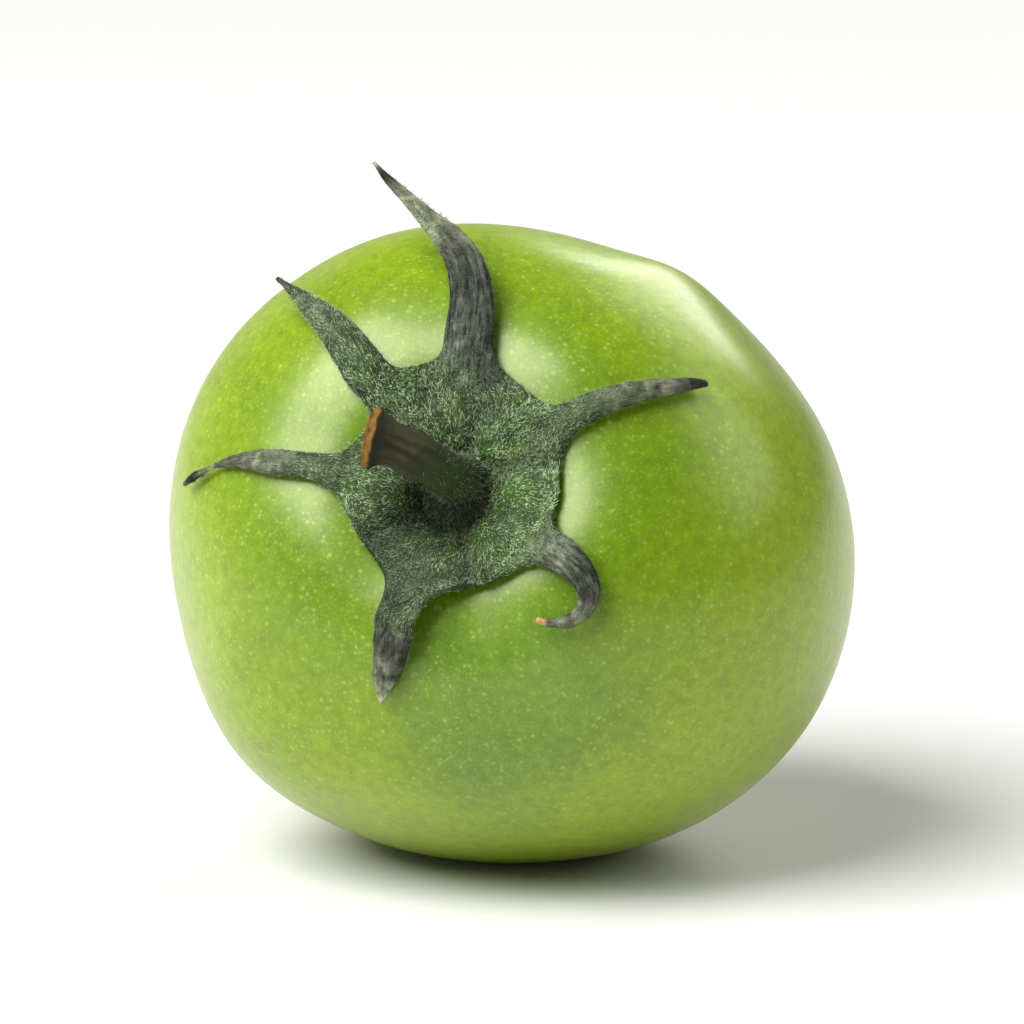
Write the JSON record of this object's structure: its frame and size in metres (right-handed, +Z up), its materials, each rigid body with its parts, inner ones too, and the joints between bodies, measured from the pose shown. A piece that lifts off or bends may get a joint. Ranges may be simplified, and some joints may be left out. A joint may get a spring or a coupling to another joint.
{
  "type": "green cherry tomato",
  "caption": "Whole unripe cherry tomato lying on its side, with its hairy star-shaped calyx and the short broken stub of its stem.",
  "frame": {"origin": "middle of the small flat spot that the fruit rests on", "axes": "+Z up, away from the surface that the fruit rests on; -Y towards the stem end, whose axis rises about 25 degrees over the surface and swings about 13 degrees towards -X"},
  "size_m": [0.0321, 0.0303, 0.0331],
  "materials": {
    "fruit": "waxy glossy fruit skin, yellow-green with a deeper green shoulder and fine pale speckles",
    "calyx": "grey-green leaf, felted with short pale hairs, with purplish dark tips",
    "stem": "olive-brown stalk, matt, with an orange-brown broken end"
  },
  "bodies": {
    "root": {"fruit": "fruit", "calyx": "calyx", "stem": "stem"}
  },
  "joints": []
}
